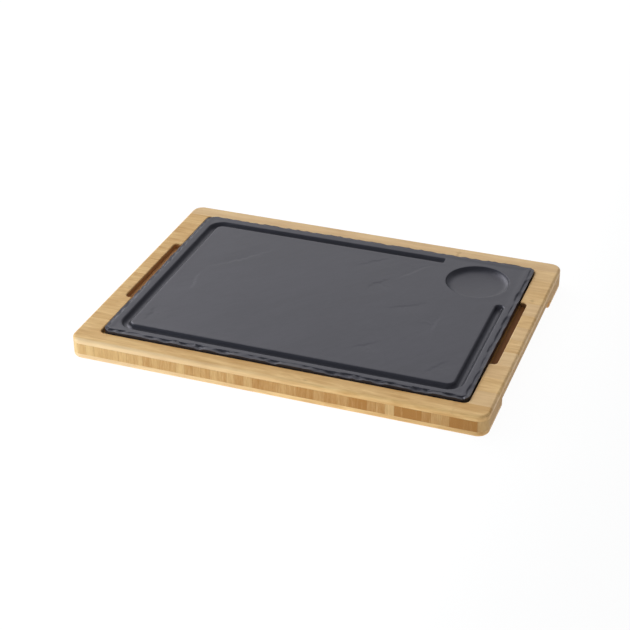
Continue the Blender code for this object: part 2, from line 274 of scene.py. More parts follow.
def apply_place(piece):
    only(piece)
    bpy.ops.object.transform_apply(location=True, rotation=True, scale=True)
    return piece


def stretch(name, low, high):
    """Name the unit piece just added and stretch it from corner to corner."""
    piece = bpy.context.object
    piece.name = name
    piece.location = [(a + b) / 2 for a, b in zip(low, high)]
    piece.scale = [b - a or 1.0 for a, b in zip(low, high)]
    return apply_place(piece)


def add_bar(name, low, high):
    """Rectangular bar between two corners."""
    clear_selection()
    bpy.ops.mesh.primitive_cube_add(size=1.0)
    return stretch(name, low, high)


def add_sheet(name, low, high, height):
    """Flat rectangle at a height, facing up."""
    clear_selection()
    bpy.ops.mesh.primitive_plane_add(size=1.0)
    return stretch(name, (*low, height), (*high, height))


def pick(piece, kind, test=lambda part: True):
    """Go into edit mode and select the vertices, edges or faces that pass a test."""
    if piece.mode != "EDIT":
        only(piece)
        bpy.ops.object.mode_set(mode="EDIT")
    bpy.ops.mesh.select_mode(type=kind)
    bpy.ops.mesh.select_all(action="DESELECT")
    shape = bmesh.from_edit_mesh(piece.data)
    parts = {"VERT": shape.verts, "EDGE": shape.edges, "FACE": shape.faces}[kind]
    found = [part for part in parts if test(part)]
    if not found:
        raise RuntimeError(f"{piece.name} has nothing to select there")
    for part in found:
        part.select_set(True)
    bmesh.update_edit_mesh(piece.data)


def near(a, b):
    return abs(a - b) < TOUCH


def both(edge, test):
    return all(test(vertex.co) for vertex in edge.verts)


def round_edges(offset, segments):
    bpy.ops.mesh.bevel(offset=offset, segments=segments, affect="EDGES")


def extrude(*move):
    bpy.ops.mesh.extrude_region_move(TRANSFORM_OT_translate={"value": move})


def drop_piece(piece):
    bpy.data.objects.remove(piece, do_unlink=True)


def mill(piece, tool, operation):
    """Cut a piece with a tool, or join the two."""
    only(piece)
    bpy.ops.object.modifier_add(type="BOOLEAN")
    cut = piece.modifiers[-1]
    cut.operation = operation
    cut.solver = "EXACT"
    cut.object = tool
    bpy.ops.object.modifier_apply(modifier=cut.name)


def join(pieces):
    clear_selection()
    for piece in pieces:
        piece.select_set(True)
    bpy.context.view_layer.objects.active = pieces[0]
    bpy.ops.object.join()
    return pieces[0]


def smooth_step(low, high, value):
    share = min(max((value - low) / (high - low), 0.0), 1.0)
    return share * share * (3 - 2 * share)


def chance(cell, seed):
    """Fixed random number from 0 to 1 for a cell."""
    value = math.sin(cell * 12.9898 + seed * 78.233) * 43758.5453
    return value - math.floor(value)


def hand_over(piece, body, material, nodes, angle):
    """Shade a finished piece, give it its material and set it in the frame."""
    only(piece)
    bpy.ops.object.shade_smooth_by_angle(angle=math.radians(angle))
    piece.data.materials.clear()
    piece.data.materials.append(material)
    piece.data.name = piece.name
    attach(piece, body)
    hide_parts(*nodes)


# Finishes


def put(tree, kind, inputs=None, **settings):
    """Add a node, set its options and fill its sockets with values or links."""
    node = tree.nodes.new(kind)
    for key, value in settings.items():
        setattr(node, key, value)
    return fill(tree, node, inputs or {})


def fill(tree, node, inputs):
    for key, value in inputs.items():
        if isinstance(value, bpy.types.NodeSocket):
            tree.links.new(value, node.inputs[key])
        else:
            node.inputs[key].default_value = value
    return node


def calc(tree, operation, a, b=0.0):
    return put(tree, "ShaderNodeMath", {0: a, 1: b}, operation=operation).outputs[0]


def times(tree, first, *others):
    for other in others:
        first = calc(tree, "MULTIPLY", first, other)
    return first


def axes(tree, vector):
    return put(tree, "ShaderNodeSeparateXYZ", {0: vector}).outputs


def shifted(tree, place, x, y):
    aside = put(tree, "ShaderNodeCombineXYZ", {0: x, 1: y}).outputs[0]
    return put(tree, "ShaderNodeVectorMath", {0: place, 1: aside}, operation="ADD").outputs[0]


def weigh(tree, terms, base=0.0):
    """Sum of values times weights, each taken about a half, on a base."""
    total = base
    for value, weight in terms:
        part = times(tree, calc(tree, "SUBTRACT", value, 0.5), weight)
        total = calc(tree, "ADD", part, total)
    return total


def grain(tree, place, scale, detail=2.0, roughness=0.5, distortion=0.0):
    """Noise stretched by three scales, in cycles per metre."""
    stretched = put(tree, "ShaderNodeVectorMath", {0: place, 1: scale}, operation="MULTIPLY").outputs[0]
    inputs = {"Vector": stretched, "Scale": 1.0, "Detail": detail}
    inputs |= {"Roughness": roughness, "Distortion": distortion}
    return put(tree, "ShaderNodeTexNoise", inputs).outputs[0]


def fade(tree, value, low, high):
    inputs = {"Value": value, "From Min": low, "From Max": high}
    return put(tree, "ShaderNodeMapRange", inputs, interpolation_type="SMOOTHSTEP").outputs[0]


def blend(tree, share, a, b):
    """Colour a where the share is 0 and b where it is 1."""
    sockets = {0: share}
    for key, tint in ((6, a), (7, b)):
        sockets[key] = tint if isinstance(tint, bpy.types.NodeSocket) else (*tint, 1.0)
    return put(tree, "ShaderNodeMix", sockets, data_type="RGBA").outputs[2]


def start_finish(name):
    material = bpy.data.materials.new(name)
    material.use_nodes = True
    tree = material.node_tree
    return material, tree, tree.nodes["Principled BSDF"], put(tree, "ShaderNodeTexCoord").outputs["Object"]


def bump(tree, terms, strong, distance):
    inputs = {"Height": weigh(tree, terms, 0.5), "Strength": strong, "Distance": distance}
    return put(tree, "ShaderNodeBump", inputs).outputs[0]


def face_bamboo(finishes, tray):
    """Flat bamboo strips with their fibres along the board and faint node marks."""
    material, tree, shader, place = start_finish("milled_bamboo_face")
    strip = put(tree, "ShaderNodeAttribute", attribute_name="strip").outputs["Vector"]
    tone, shift, phase = axes(tree, strip)
    moved = shifted(tree, place, shift, times(tree, shift, 3.0))
    streak = grain(tree, moved, (26.0, 260.0, 260.0), 4.0, 0.65, 0.3)
    fibre = grain(tree, moved, (60.0, 1300.0, 1300.0), 2.0, 0.6)
    mottle = grain(tree, moved, (24.0, 75.0, 75.0), 3.0, 0.6, 0.4)
    level = weigh(tree, ((streak, 1.5), (fibre, 0.8), (mottle, 1.4), (tone, 0.3)), 0.5)
    wood = blend(tree, level, finishes.face_deep, finishes.face_pale)
    along, across, up = axes(tree, place)
    aback, half = calc(tree, "ABSOLUTE", across), tray.width / 2
    pocket = half - tray.rail_width
    # Darker towards the pocket's edge on the rails: partly painted shade of the plate, partly a deeper tone
    # of the wood
    plate_shade_and_tone = times(
        tree, fade(tree, aback, pocket - 0.0010, pocket), fade(tree, aback, half - 0.005, pocket),
        fade(tree, up, tray.height - 0.006, tray.height - 0.004), 0.5
    )
    wood = blend(tree, plate_shade_and_tone, wood, finishes.face_deep)
    # Strips of high tone, and the front and back edges towards the left end, turn paler: painted sheen,
    # partly paler bamboo
    rim = times(tree, fade(tree, aback, half - 0.0030, half - 0.0010), fade(tree, along, 0.10, -0.16))
    sheen_and_pale = times(tree, calc(tree, "MAXIMUM", fade(tree, tone, 0.5, 1.1), rim), 0.65)
    wood = blend(tree, sheen_and_pale, wood, finishes.face_pale_and_sheen)
    thread = fade(tree, grain(tree, moved, (30.0, 700.0, 700.0), 1.0), 0.36, 0.26)
    wood = blend(tree, times(tree, thread, 0.18), wood, finishes.node_brown)
    turn = calc(tree, "SUBTRACT", calc(tree, "DIVIDE", along, NODE_SPACING), phase)
    turn = calc(tree, "SUBTRACT", calc(tree, "FRACT", calc(tree, "ADD", turn, 0.5)), 0.5)
    away = times(tree, calc(tree, "ABSOLUTE", turn), NODE_SPACING)
    ragged = calc(tree, "ADD", away, weigh(tree, ((streak, 0.010),)))
    mark = times(tree, fade(tree, ragged, 0.0030, 0.0), fade(tree, mottle, 0.50, 0.66), 0.35)
    wood = blend(tree, mark, wood, finishes.node_brown)
    wood = paint_slot_shade(tree, place, wood, finishes, tray)
    fill(tree, shader, {
        "Base Color": wood,
        "Specular IOR Level": 0.15,
        "Roughness": weigh(tree, ((fibre, 0.25),), 0.48),
        "Normal": bump(tree, ((fibre, 0.6), (streak, 0.4)), 0.35, 0.0001),
    })
    return material


def paint_slot_shade(tree, place, wood, finishes, tray):
    """Painted light and shade inside the finger slots: lit orange in the left slot and the plate's painted
    shadow, dark brown, in the right one.
    """
    x, y, z = axes(tree, place)
    pocket, side = tray.length / 2 - tray.end_width, tray.slot_length / 2
    along, across = calc(tree, "ABSOLUTE", x), calc(tree, "ABSOLUTE", y)
    end, soft = pocket + tray.slot_reach, tray.pocket_ease
    floor = tray.height - tray.pocket_depth
    share = times(
        tree, fade(tree, along, pocket - 0.0010, pocket + 0.0005), fade(tree, along, end + soft, end),
        fade(tree, across, side + soft, side), fade(tree, z, tray.height - 0.0002, tray.height - 0.0014),
        fade(tree, z, floor - 0.0020, floor - 0.0005), 0.8
    )
    # Lit orange on the left, the plate's painted shadow in dark brown on the right
    slot_shade_colour = blend(tree, fade(tree, x, -0.1, 0.1), finishes.slot_lit_orange, finishes.slot_shadow_brown)
    return blend(tree, share, wood, slot_shade_colour)


def core_bamboo(finishes, tray):
    """Upright bamboo strips with their fibres from front to back and their end grain in front."""
    material, tree, shader, place = start_finish("milled_bamboo_core")
    across = axes(tree, place)[0]
    half, strip = tray.length / 2, tray.length / CORE_PAIRS / 2
    count = calc(tree, "DIVIDE", calc(tree, "ADD", across, half), strip)
    number = calc(tree, "FLOOR", count)
    tone = put(tree, "ShaderNodeTexWhiteNoise", {"W": number}, noise_dimensions="1D").outputs["Value"]
    spread = {"W": number, "Scale": 0.37, "Detail": 1.0}
    batch = put(tree, "ShaderNodeTexNoise", spread, noise_dimensions="1D").outputs[0]
    # Paler towards the left end and deeper towards the right: painted light from the left
    painted_light_from_left = fade(tree, across, -0.26, 0.24)
    moved = shifted(tree, place, times(tree, tone, 2.0), tone)
    streak = grain(tree, moved, (520.0, 9.0, 40.0), 3.0, 0.6)
    fibre = grain(tree, moved, (1500.0, 24.0, 180.0), 2.0, 0.6)
    outer = fade(tree, calc(tree, "ABSOLUTE", across), half - 0.0085, half - 0.0065)
    terms = ((streak, 1.0), (fibre, 0.7), (tone, 0.42), (batch, 1.2), (painted_light_from_left, -0.5), (outer, 0.8))
    level = weigh(tree, terms, 0.78)
    wood = blend(tree, level, finishes.core_deep, finishes.core_pale)
    inside = calc(tree, "SUBTRACT", calc(tree, "FRACT", count), 0.5)
    seam = fade(tree, calc(tree, "ABSOLUTE", inside), 0.45, 0.49)
    seam = times(tree, seam, fade(tree, tone, 0.3, 0.8), 0.5)
    wood = blend(tree, seam, wood, finishes.node_brown)
    wood = paint_slot_shade(tree, place, wood, finishes, tray)
    fill(tree, shader, {
        "Base Color": wood,
        "Specular IOR Level": 0.08,
        "Roughness": weigh(tree, ((fibre, 0.3),), 0.52),
        "Normal": bump(tree, ((fibre, 0.7), (streak, 0.3)), 0.4, 0.00012),
    })
    return material


def stoneware(finishes):
    """Matt charcoal stoneware with the mottling and the fine torn grain of slate."""
    material, tree, shader, place = start_finish("slate_stoneware")
    turn = {"Vector": place, "Rotation": (0.0, 0.0, SPLIT_ANGLE)}
    turned = put(tree, "ShaderNodeMapping", turn).outputs[0]
    cloud = grain(tree, turned, (13.0, 30.0, 30.0), 4.0, 0.55, 0.4)
    torn = grain(tree, turned, (60.0, 210.0, 210.0), 4.0, 0.6, 0.6)
    grit = grain(tree, place, (1300.0, 1300.0, 1300.0), 3.0, 0.6)
    level = weigh(tree, ((cloud, 0.8), (torn, 0.3), (grit, 0.4)), 0.5)
    fill(tree, shader, {
        "Base Color": blend(tree, level, finishes.clay_dark, finishes.clay_light),
        "Specular IOR Level": weigh(tree, ((cloud, 0.30), (torn, 0.15)), 0.84),
        "Specular Tint": (*finishes.clay_sheen, 1.0),
        "Roughness": weigh(tree, ((cloud, 0.10), (grit, 0.10)), 0.41),
        "Normal": bump(tree, ((torn, 0.6), (grit, 0.3)), 0.30, 0.00012),
    })
    return material


# Tray


def mill_tray(tray):
    """The whole tray as one milled solid: rounded outside, with pocket, finger slots and hand grips."""
    half_x, half_y, height = tray.length / 2, tray.width / 2, tray.height
    solid = add_bar("milled_tray", (-half_x, -half_y, 0.0), (half_x, half_y, height))
    pick(solid, "EDGE", lambda edge: abs(edge.verts[0].co.z - edge.verts[1].co.z) > height / 2)
    round_edges(tray.corner, 14)
    pick(solid, "EDGE", lambda edge: near(edge.verts[0].co.z, edge.verts[1].co.z))
    round_edges(tray.edge, 7)
    tool = pocket_tool(tray)
    mill(solid, tool, "DIFFERENCE")
    drop_piece(tool)
    inner_x, inner_y = half_x - tray.edge - 0.001, half_y - tray.edge - 0.001

    def at_mouth(edge):
        inside = both(edge, lambda co: near(co.z, height) and abs(co.x) < inner_x and abs(co.y) < inner_y)
        return inside and any(abs(face.normal.z) < 0.1 for face in edge.link_faces)

    pick(solid, "EDGE", at_mouth)
    round_edges(tray.pocket_ease, 4)
    for side in (-1, 1):
        tool = grip_tool(tray, side)
        mill(solid, tool, "DIFFERENCE")
        drop_piece(tool)
        reach = tray.grip_length / 2 + 0.0001

        def at_lip(edge):
            return both(edge, lambda co: (
                near(co.x, side * half_x) and near(co.z, tray.grip_height) and abs(co.y) < reach
            ))

        pick(solid, "EDGE", at_lip)
        round_edges(tray.grip_lip, 5)
    clear_selection()
    return solid


def pocket_tool(tray):
    """Cutter for the plate's pocket and the finger slot at each end of it."""
    x, y = tray.length / 2 - tray.end_width, tray.width / 2 - tray.rail_width
    reach, side = x + tray.slot_reach, tray.slot_length / 2
    left, right = tray.pocket_fit - x, x - tray.pocket_fit / 2
    front, back = tray.pocket_fit / 2 - y, y - tray.pocket_fit_back
    low, high = tray.height - tray.pocket_depth, tray.height + OVERCUT
    tool = add_bar("pocket_tool", (left, front, low), (right, back, high))
    slot = add_bar("slot_tool", (-reach, -side, low), (reach, side, high))
    mill(tool, slot, "UNION")
    drop_piece(slot)
    pick(tool, "FACE")
    bpy.ops.mesh.dissolve_limited(angle_limit=math.radians(1))
    for along, across, radius in (
        ((left, right), (front, back), tray.pocket_corner),
        ((-reach, reach), (-side, side), tray.slot_corner),
        ((left, right), (-side, side), tray.slot_mouth),
    ):

        def at_corner(edge):
            upright = not near(edge.verts[0].co.z, edge.verts[1].co.z)
            return upright and both(edge, lambda co: (
                any(near(co.x, x) for x in along) and any(near(co.y, y) for y in across)
            ))

        pick(tool, "EDGE", at_corner)
        round_edges(radius, 7)
    clear_selection()
    return tool


def grip_tool(tray, side):
    """Cutter for the hand grip under one end, rounded on its inner edges."""
    outer = side * (tray.length / 2 + OVERCUT)
    inner = side * (tray.length / 2 - tray.grip_depth)
    reach = tray.grip_length / 2
    low = (min(outer, inner), -reach, -OVERCUT)
    tool = add_bar("grip_tool", low, (max(outer, inner), reach, tray.grip_height))

    def inside(edge):
        return both(edge, lambda co: near(co.x, inner)) and not both(edge, lambda co: co.z < 0.0)

    pick(tool, "EDGE", inside)
    round_edges(tray.grip_corner, 5)
    clear_selection()
    return tool


def cut_strip(name, node, solid, tray, split):
    """One strip, or a glued pair, cut out of the milled tray where the frame has its node."""
    low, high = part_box(node)
    close = Vector((tray.joint_close,) * 3)
    low, high = low - close, high + close
    fit = tray.pocket_fit
    if node == "top_rail_back":
        low.y -= tray.pocket_fit_back
    if node == "top_rail_front":
        high.y += fit / 2
    if node.startswith("top_left"):
        high.x += fit
    if node.startswith("top_right"):
        low.x -= fit / 2
    if node in ("top_left_01", "top_right_01"):
        low.y += fit / 2
    if node in (f"top_left_{END_STRIPS}", f"top_right_{END_STRIPS}"):
        high.y -= tray.pocket_fit_back
    if split:
        middle = (low.x + high.x) / 2
        left = add_bar(name, low, (middle - tray.pair_gap / 2, high.y, high.z))
        right = add_bar(name + "_right", (middle + tray.pair_gap / 2, low.y, low.z), high)
        strip = join((left, right))
    else:
        strip = add_bar(name, low, high)
    mill(strip, solid, "INTERSECT")
    if len(strip.data.polygons) < 6:
        raise RuntimeError(f"{name} was cut away")
    only(strip)
    bpy.ops.object.modifier_add(type="WEIGHTED_NORMAL")
    strip.modifiers[-1].keep_sharp = True
    return strip


def cut_strips(context, slot, maker, strips, split=False):
    """Mill the tray, cut strips out of it and set them in the frame.

    A strip has a name, a node and, on faces, its tone, its grain's shift and its node marks' phase.
    """
    tray = context.scene.tray_sizes
    solid = mill_tray(tray)
    material = bpy.data.materials.get(f"milled_{slot}") or maker(context.scene.board_finishes, tray)
    for name, node, facts in strips:
        strip = cut_strip(name, node, solid, tray, split)
        if facts:
            marks = strip.data.attributes.new("strip", "FLOAT_VECTOR", "POINT")
            marks.data.foreach_set("vector", facts * len(strip.data.vertices))
        hand_over(strip, "tray", material, (node,), 35)
        bpy.ops.object.modifier_apply(modifier=strip.modifiers[-1].name)
    drop_piece(solid)


class BOARD_OT_rails(Operator):
    """Cut the two rails along the front and the back of the tray"""

    bl_idname = "board.rails"
    bl_label = "Rails"

    def execute(self, context):
        cut_strips(context, "bamboo_face", face_bamboo, (
            ("front_rail", "top_rail_front", (0.45, 0.13, 0.239)),
            # The back rail's high tone makes it paler: painted sheen, partly paler bamboo
            ("back_rail", "top_rail_back", (0.90, 0.61, 0.70)),
        ))
        return {"FINISHED"}


class BOARD_OT_end_strips(Operator):
    """Cut the short strips across both ends of the tray's top"""

    bl_idname = "board.end_strips"
    bl_label = "End strips"

    def execute(self, context):
        strips = []
        for side, label in enumerate(("left", "right")):
            for i in range(1, END_STRIPS + 1):
                tone, shift, phase = [chance(i + 20 * side, seed) for seed in (1, 2, 3)]
                # The right end's strips get 0.4 more tone and so turn paler: painted sheen, partly paler
                # bamboo
                facts = (0.2 + 0.3 * tone + 0.4 * side, shift, phase)
                strips.append((f"{label}_end_strip_{i:02d}", f"top_{label}_{i:02d}", facts))
        cut_strips(context, "bamboo_face", face_bamboo, strips)
        return {"FINISHED"}


class BOARD_OT_core_strips(Operator):
    """Cut the upright strips of the tray's core, two to a node"""

    bl_idname = "board.core_strips"
    bl_label = "Core strips"

    def execute(self, context):
        strips = [(f"core_pair_{i:02d}", f"core_{i:02d}", None) for i in range(1, CORE_PAIRS + 1)]
        cut_strips(context, "bamboo_core", core_bamboo, strips, split=True)
        return {"FINISHED"}


class BOARD_OT_base_strips(Operator):
    """Cut the strips of the tray's underside"""

    bl_idname = "board.base_strips"
    bl_label = "Base strips"

    def execute(self, context):
        strips = []
        for i in range(1, BASE_STRIPS + 1):
            facts = (0.6 + 0.3 * chance(i, 7), chance(i, 8), chance(i, 9))
            strips.append((f"base_strip_{i:02d}", f"base_{i:02d}", facts))
        cut_strips(context, "bamboo_face", face_bamboo, strips)
        return {"FINISHED"}


# Plate


def outline_side(x, y, corner):
    """Distance in from the plate's outline, the outward direction there and the run along the edge."""
    hub = Vector((
        min(max(x, PLATE_LOW.x + corner), PLATE_HIGH.x - corner),
        min(max(y, PLATE_LOW.y + corner), PLATE_HIGH.y - corner),
    ))
    out = Vector((x, y)) - hub
    if out.length > 1e-9:
        setback = corner - out.length
        out.normalize()
    else:
        setback, out = min(
            (PLATE_HIGH.x - x, (1, 0)), (x - PLATE_LOW.x, (-1, 0)),
            (PLATE_HIGH.y - y, (0, 1)), (y - PLATE_LOW.y, (0, -1))
        )
        out = Vector(out)
    if abs(out.y) > abs(out.x):
        run = x if out.y < 0 else BACK_RUN - x
    else:
        run = RIGHT_RUN + y if out.x > 0 else LEFT_RUN - y
    return setback, out, run


def broken_edge(run, setback, out, plate):
    """How far the rim lies under the face: scalloped chips over a rough ledge that slopes outwards."""
    length = plate.chip_length * (RIGHT_CHIPS if out.x > 0.7 else 1.0)
    place = (run + CHIP_WANDER * noise.noise((run * CHIP_WAVES, 3.1, 0.0))) / length
    cell = math.floor(place)
    arch = 1 - (2 * (place - cell) - 1) ** 2
    calm = 1 - CALM_BACK * max(0.0, out.y) - CALM_RIGHT * max(0.0, out.x) - CALM_LEFT * max(0.0, -out.x)
    edge = plate.ledge_setback + plate.chip_bite * calm * (0.1 + 1.1 * chance(cell, 1)) * arch
    edge += calm * sum(size * noise.noise((run * along, seed, 0.0)) for size, along, seed in EDGE_WAVES)
    drop = plate.ledge_drop * (0.65 + calm * (chance(cell, 2) - 0.5)) * (0.35 + 0.65 * arch)
    steep = 0.0003 + 0.0009 * (1 - arch) + 0.0009 * max(0.0, out.x)
    slope = max(0.0, edge - setback) * 0.28 * (chance(cell, 3) - 0.72) * calm
    rough = calm * smooth_step(edge, edge - 0.0008, setback) * sum(
        size * noise.noise((run * along, setback * across, seed))
        for size, along, across, seed in LEDGE_WAVES
    )
    return max(0.0, drop * smooth_step(edge, edge - steep, setback) + slope + rough)


def make_rim(plate):
    """The plate's broken rim, its side and its underside: insets of the outline, broken and drawn down."""
    face, under = PLATE_HIGH.z, PLATE_LOW.z
    # Each ring is first set a little higher, which tells the rings apart
    lift = 0.00005
    rim = add_sheet("slate_plate", PLATE_LOW[:2], PLATE_HIGH[:2], face)
    pick(rim, "VERT")
    bpy.ops.mesh.bevel(offset=plate.corner, segments=10, affect="VERTICES")
    bpy.ops.mesh.select_all(action="SELECT")
    bpy.ops.mesh.delete(type="ONLY_FACE")
    for axis in (0, 1):
        span = (PLATE_HIGH - PLATE_LOW)[axis] - 2 * plate.corner
        pick(rim, "EDGE", lambda edge: near(abs(edge.verts[0].co[axis] - edge.verts[1].co[axis]), span))
        bpy.ops.mesh.subdivide(number_cuts=round(span / plate.rim_pitch) - 1)
    bpy.ops.mesh.select_all(action="SELECT")
    bpy.ops.mesh.edge_face_add()
    shape = bmesh.from_edit_mesh(rim.data)
    shape.faces.ensure_lookup_table()
    if shape.faces[0].normal.z < 0:
        bpy.ops.mesh.flip_normals()
    bpy.ops.mesh.select_mode(type="FACE")
    for _ in range(plate.rim_rings):
        bpy.ops.mesh.inset(thickness=plate.rim_step, depth=lift)
    bpy.ops.mesh.delete(type="ONLY_FACE")
    clear_selection()
    for vertex in rim.data.vertices:
        ring = round((vertex.co.z - face) / lift)
        _, out, run = outline_side(vertex.co.x, vertex.co.y, plate.corner)
        # From 1 at the left end to a half at the right end
        leftness = 0.75 - 0.5 * vertex.co.x / (PLATE_HIGH.x - PLATE_LOW.x)
        leftward, backward = max(0.0, -out.x), max(0.0, out.y)
        nick = plate.nick * chance(math.floor(run / plate.nick_length), 5)
        worn = -out * (2 * plate.draw_corner * leftward * abs(out.y) + nick)
        worn.x += plate.draw_left * min(1.0, CORNER_WEAR * leftward)
        worn.y -= plate.draw_back * leftness * min(1.0, CORNER_WEAR * backward)
        vertex.co.xy += worn * (1 - ring / plate.rim_rings)
        broken = broken_edge(run, ring * plate.rim_step, out, plate) if ring < plate.rim_rings else 0.0
        vertex.co.z = face - broken
    limit = plate.rim_step * plate.rim_rings * RIM_OUTER

    def outer(edge):
        return edge.is_boundary and both(edge, lambda co: outline_side(co.x, co.y, plate.corner)[0] < limit)

    pick(rim, "EDGE", outer)
    foot = under + plate.under_chamfer
    for share in (0.7, 0.35, 0.0):
        level = foot + (face - plate.side_drop - foot) * share
        extrude(0.0, 0.0, -0.001)
        bpy.ops.transform.resize(value=(1.0, 1.0, 0.0), center_override=(0.0, 0.0, level))
    bpy.ops.mesh.edge_face_add()
    bpy.ops.mesh.select_mode(type="FACE")
    shape = bmesh.from_edit_mesh(rim.data)
    if [part for part in shape.faces if part.select][0].normal.z > 0:
        bpy.ops.mesh.flip_normals()
    bpy.ops.mesh.inset(thickness=plate.under_chamfer, depth=plate.under_chamfer)
    clear_selection()
    return rim


def groove_path(plate):
    """Centre lines of the groove's left, right, front and back runs, and its two ends."""
    left, front = PLATE_LOW.x + plate.groove_inset, PLATE_LOW.y + plate.groove_inset
    right, back = PLATE_HIGH.x - plate.groove_inset_right, PLATE_HIGH.y - plate.groove_inset_back
    return left, right, front, back, PLATE_HIGH.x - plate.groove_break, PLATE_HIGH.y - plate.groove_break


def groove_section(plate):
    """Half of the groove's section, from its rounded lip to its middle, as (reach, drop) points."""
    half, lip, deepest = plate.groove_half, plate.groove_lip, plate.groove_depth
    reach = half - lip * math.sin(GROOVE_WALL)
    radius = reach / math.sin(GROOVE_WALL)
    deep = deepest / ((lip + radius) * (1 - math.cos(GROOVE_WALL)))
    section = []
    for k in range(GROOVE_LIP_STEPS + 1):
        angle = GROOVE_WALL * k / GROOVE_LIP_STEPS
        section.append((half - lip * math.sin(angle), lip * (1 - math.cos(angle)) * deep))
    for k in range(1, GROOVE_BED_STEPS + 1):
        angle = GROOVE_WALL * (1 - k / GROOVE_BED_STEPS)
        section.append((radius * math.sin(angle), deepest - radius * (1 - math.cos(angle)) * deep))
    return section


def make_groove(plate):
    """Juice groove: its section drawn round the plate's border, one end blunt and one end round."""
    face, bend, cap = PLATE_HIGH.z - plate.land_fall, plate.groove_bend, plate.groove_cap
    left, right, front, back, back_end, right_end = groove_path(plate)
    half = groove_section(plate)
    section = half + [(-reach, drop) for reach, drop in half[-2::-1]]
    start = back_end - cap
    mesh = bpy.data.meshes.new("groove")
    chain = [(i, i + 1) for i in range(len(section) - 1)]
    mesh.from_pydata([(start, back + reach, face - drop) for reach, drop in section], chain, [])
    trough = bpy.data.objects.new("groove", mesh)
    bpy.context.collection.objects.link(trough)
    pick(trough, "EDGE")
    before, angle = 1.0, 0.0
    for k in range(1, GROOVE_CAP_STEPS + 1):
        last, angle = angle, math.pi / 2 * k / GROOVE_CAP_STEPS
        after = math.cos(angle) if k < GROOVE_CAP_STEPS else 0.0
        extrude(cap * (math.sin(angle) - math.sin(last)), 0.0, 0.0)
        bpy.ops.transform.resize(value=(1.0, 1.0, after / before), center_override=(0.0, back, face))
        before = after
    pick(trough, "EDGE", lambda edge: both(edge, lambda co: near(co.x, start)))
    runs = (
        ((-1, 0), start - left - bend, (left + bend, back - bend)),
        ((0, -1), back - front - 2 * bend, (left + bend, front + bend)),
        ((1, 0), right - left - 2 * bend, (right - bend, front + bend)),
        ((0, 1), right_end - front - bend, None),
    )
    for (dx, dy), distance, hub in runs:
        steps = max(1, round(distance / GROOVE_PITCH))
        for _ in range(steps):
            extrude(dx * distance / steps, dy * distance / steps, 0.0)
        if hub:
            bpy.ops.mesh.spin(
                steps=GROOVE_BEND_STEPS, angle=-math.pi / 2, center=(*hub, face), axis=(0.0, 0.0, 1.0)
            )
    pick(trough, "EDGE", lambda edge: both(edge, lambda co: near(co.y, right_end) and co.x > right - TOUCH))
    bpy.ops.mesh.spin(
        steps=GROOVE_ROUND_STEPS, angle=-math.pi, center=(right, right_end, face), axis=(0.0, 0.0, 1.0)
    )
    pick(trough, "VERT")
    bpy.ops.mesh.remove_doubles(threshold=WELD)
    clear_selection()
    return trough


def well_place(plate):
    return Vector((PLATE_HIGH.x - plate.well_inset, PLATE_HIGH.y - plate.well_inset))


def make_well(plate):
    """Sauce well: a disc sunk to a dish with a rounded lip."""
    place = (*well_place(plate), PLATE_HIGH.z - plate.land_fall)
    clear_selection()
    bpy.ops.mesh.primitive_circle_add(
        vertices=WELL_POINTS, radius=plate.well_radius, fill_type="NGON", location=place
    )
    well = apply_place(bpy.context.object)
    start, lip, wall = WELL_START, plate.well_lip, plate.well_wall
    slope = math.atan(plate.well_depth / wall / math.tan(start))
    profile = []
    for k in range(WELL_LIP_STEPS + 1):
        angle = slope * k / WELL_LIP_STEPS
        profile.append((lip * math.sin(angle), lip * (1 - math.cos(angle))))
    inset, drop = profile[-1]
    deep = (plate.well_depth - drop) / (1 - math.sin(start))
    for k in range(1, WELL_WALL_STEPS + 1):
        angle = start + (math.pi / 2 - start) * k / WELL_WALL_STEPS
        reach = inset + wall * (math.cos(start) - math.cos(angle))
        profile.append((reach, drop + deep * (math.sin(angle) - math.sin(start))))
    foot = inset + wall * math.cos(start)
    for k in range(1, WELL_DISH_STEPS):
        share = k / WELL_DISH_STEPS
        sunk = plate.well_depth + plate.well_dish * share * (2 - share)
        profile.append((foot + (plate.well_radius - foot) * share, sunk))
    pick(well, "FACE")
    for (inset0, drop0), (inset1, drop1) in zip(profile, profile[1:]):
        bpy.ops.mesh.inset(thickness=inset1 - inset0, depth=drop0 - drop1)
    clear_selection()
    return well


def cleft(place, plate):
    """How deep the face lies at a place: layers torn off beside the clefts, and a slow swell."""
    swell = noise.fractal((place.x * SWELL_WAVES, place.y * SWELL_WAVES, 0.4), 0.9, 2.1, 3)
    deep = SWELL * (1 + swell)
    x, y = place.x * TEAR_WAVES, place.y * TEAR_WAVES
    ragged = place + TEAR * Vector((noise.noise((x, y, 1.3)), noise.noise((x, y, 5.9))))
    for number, line in enumerate(CLEFTS):
        side = 1 if number % 3 else -1
        for k, (a, b) in enumerate(zip(line, line[1:])):
            a, b = Vector(a), Vector(b)
            if (ragged - (a + b) / 2).length > plate.cleft_reach + (b - a).length / 2:
                continue
            nearest, share = geometry.intersect_point_line(ragged, a, b)
            away = (ragged - nearest) * side
            along = (b - a).normalized()
            distance = away.x * along.y - away.y * along.x
            if 0.0 < share <= 1.0 and 0.0 < distance < plate.cleft_reach:
                ends = math.sin(math.pi * (k + share) / (len(line) - 1))
                deep += plate.cleft_step * ends * (1 - distance / plate.cleft_reach)
    return deep


